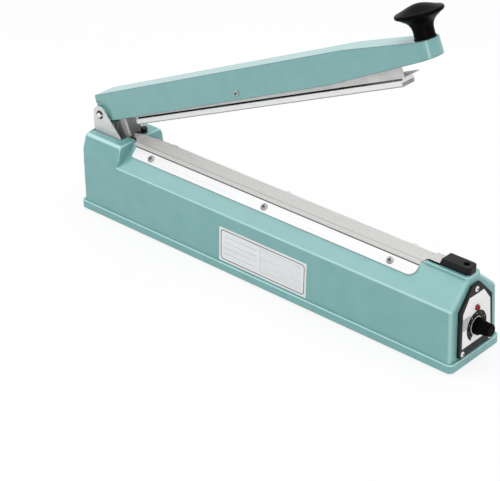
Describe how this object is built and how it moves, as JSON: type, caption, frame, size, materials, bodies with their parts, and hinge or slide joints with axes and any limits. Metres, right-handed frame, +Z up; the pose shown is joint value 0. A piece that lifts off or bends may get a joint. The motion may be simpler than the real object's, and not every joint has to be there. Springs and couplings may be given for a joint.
{
  "type": "impulse sealer",
  "caption": "Bench impulse sealer: teal cast housing with a heated sealing bed, hinged arm with a rocking press bar and a black knob, timer dial on the end.",
  "frame": {"origin": "on the ground under the middle of the part's bounding box, feet standing on z = 0", "axes": "+X to the control panel end, -Y to the labelled front, +Z up"},
  "size_m": [0.568, 0.087, 0.3735],
  "materials": {
    "teal_paint": "hammered teal paint on a casting",
    "bright_steel": "zinc plated steel",
    "dark_steel": "dark plated steel",
    "bare_aluminium": "satin anodised aluminium",
    "black_plastic": "moulded black plastic",
    "gloss_black": "polished black plastic",
    "black_rubber": "moulded rubber",
    "grey_silicone": "grey silicone rubber",
    "coated_cloth": "woven glass cloth with a slippery coating",
    "insulation": "thin insulating tape",
    "brass_terminal": "turned brass",
    "copper_winding": "lacquered winding",
    "iron_core": "varnished iron sheets",
    "circuit_board": "coated circuit board",
    "board_component": "moulded components",
    "nylon": "natural nylon",
    "panel_print": "printed panel film",
    "label_film": "plain metallised film",
    "red_lens": "clear red lens"
  },
  "bodies": {
    "base": {"housing": "teal_paint", "bottom_cover": "bright_steel", "cover_screws": "bright_steel", "rubber_feet": "black_rubber", "foot_screws": "bright_steel", "heater_bar": "bare_aluminium", "insulation_strip": "insulation", "heating_element": "bright_steel", "release_cloth": "coated_cloth", "front_clamp_strip": "bare_aluminium", "rear_clamp_strip": "bare_aluminium", "clamp_strip_screws": "bright_steel", "right_end_block": "black_plastic", "end_block_screw": "dark_steel", "left_end_block": "black_plastic", "element_terminals": "brass_terminal", "terminal_screws": "bright_steel", "hinge_bracket": "bright_steel", "bracket_screws": "bright_steel", "hinge_pin": "bright_steel", "hinge_pin_clips": "dark_steel", "return_spring": "bright_steel", "micro_switch": "black_plastic", "switch_bracket": "bright_steel", "switch_screws": "bright_steel", "transformer_core": "iron_core", "transformer_coil": "copper_winding", "transformer_frame": "bright_steel", "transformer_screws": "bright_steel", "timer_board": "circuit_board", "board_standoffs": "nylon", "board_parts": "board_component", "timer_potentiometer": "bright_steel", "potentiometer_nut": "bright_steel", "control_panel": "black_plastic", "panel_label": "panel_print", "panel_screws": "dark_steel", "indicator_lamp": "red_lens", "cord_bush": "black_rubber", "rating_label": "label_film"},
    "arm": {"arm": "teal_paint", "hinge_bushes": "nylon", "striker_plate": "bright_steel", "striker_screws": "bright_steel", "press_bar_pin": "bright_steel", "press_bar_nut": "bright_steel", "arm_knob": "gloss_black", "knob_bolt": "bright_steel"},
    "press_bar": {"press_bar_carrier": "bright_steel", "press_bar_rail": "bare_aluminium", "rail_screws": "bright_steel", "silicone_strip": "grey_silicone"},
    "timer_dial": {"timer_knob": "black_plastic", "timer_shaft": "bright_steel"},
    "switch_button": {"switch_plunger": "red_lens"}
  },
  "joints": [
    {"name": "arm_hinge", "type": "hinge", "parent": "base", "child": "arm", "pos_m": [-0.268, 0, 0.1204], "axis": [0, 1, 0], "range_deg": [0, 23.25], "stiffness_Nm_per_rad": 3, "springref_deg": -80.21, "deforming": ["return_spring"]},
    {"name": "press_bar_rock", "type": "hinge", "parent": "arm", "child": "press_bar", "pos_m": [-0.05329, 0, 0.2127], "axis": [0, 1, 0], "range_deg": [-0.4, 0]},
    {"name": "timer_turn", "type": "hinge", "parent": "base", "child": "timer_dial", "pos_m": [0.26445, 0, 0.04154], "axis": [0.9986, 0, 0.0523], "range_deg": [-135, 135]},
    {"name": "switch_press", "type": "slide", "parent": "base", "child": "switch_button", "axis": [-1, 0, 0], "range_m": [0, 0.0015], "stiffness_N_per_m": 600, "springref_m": -0.001}
  ]
}
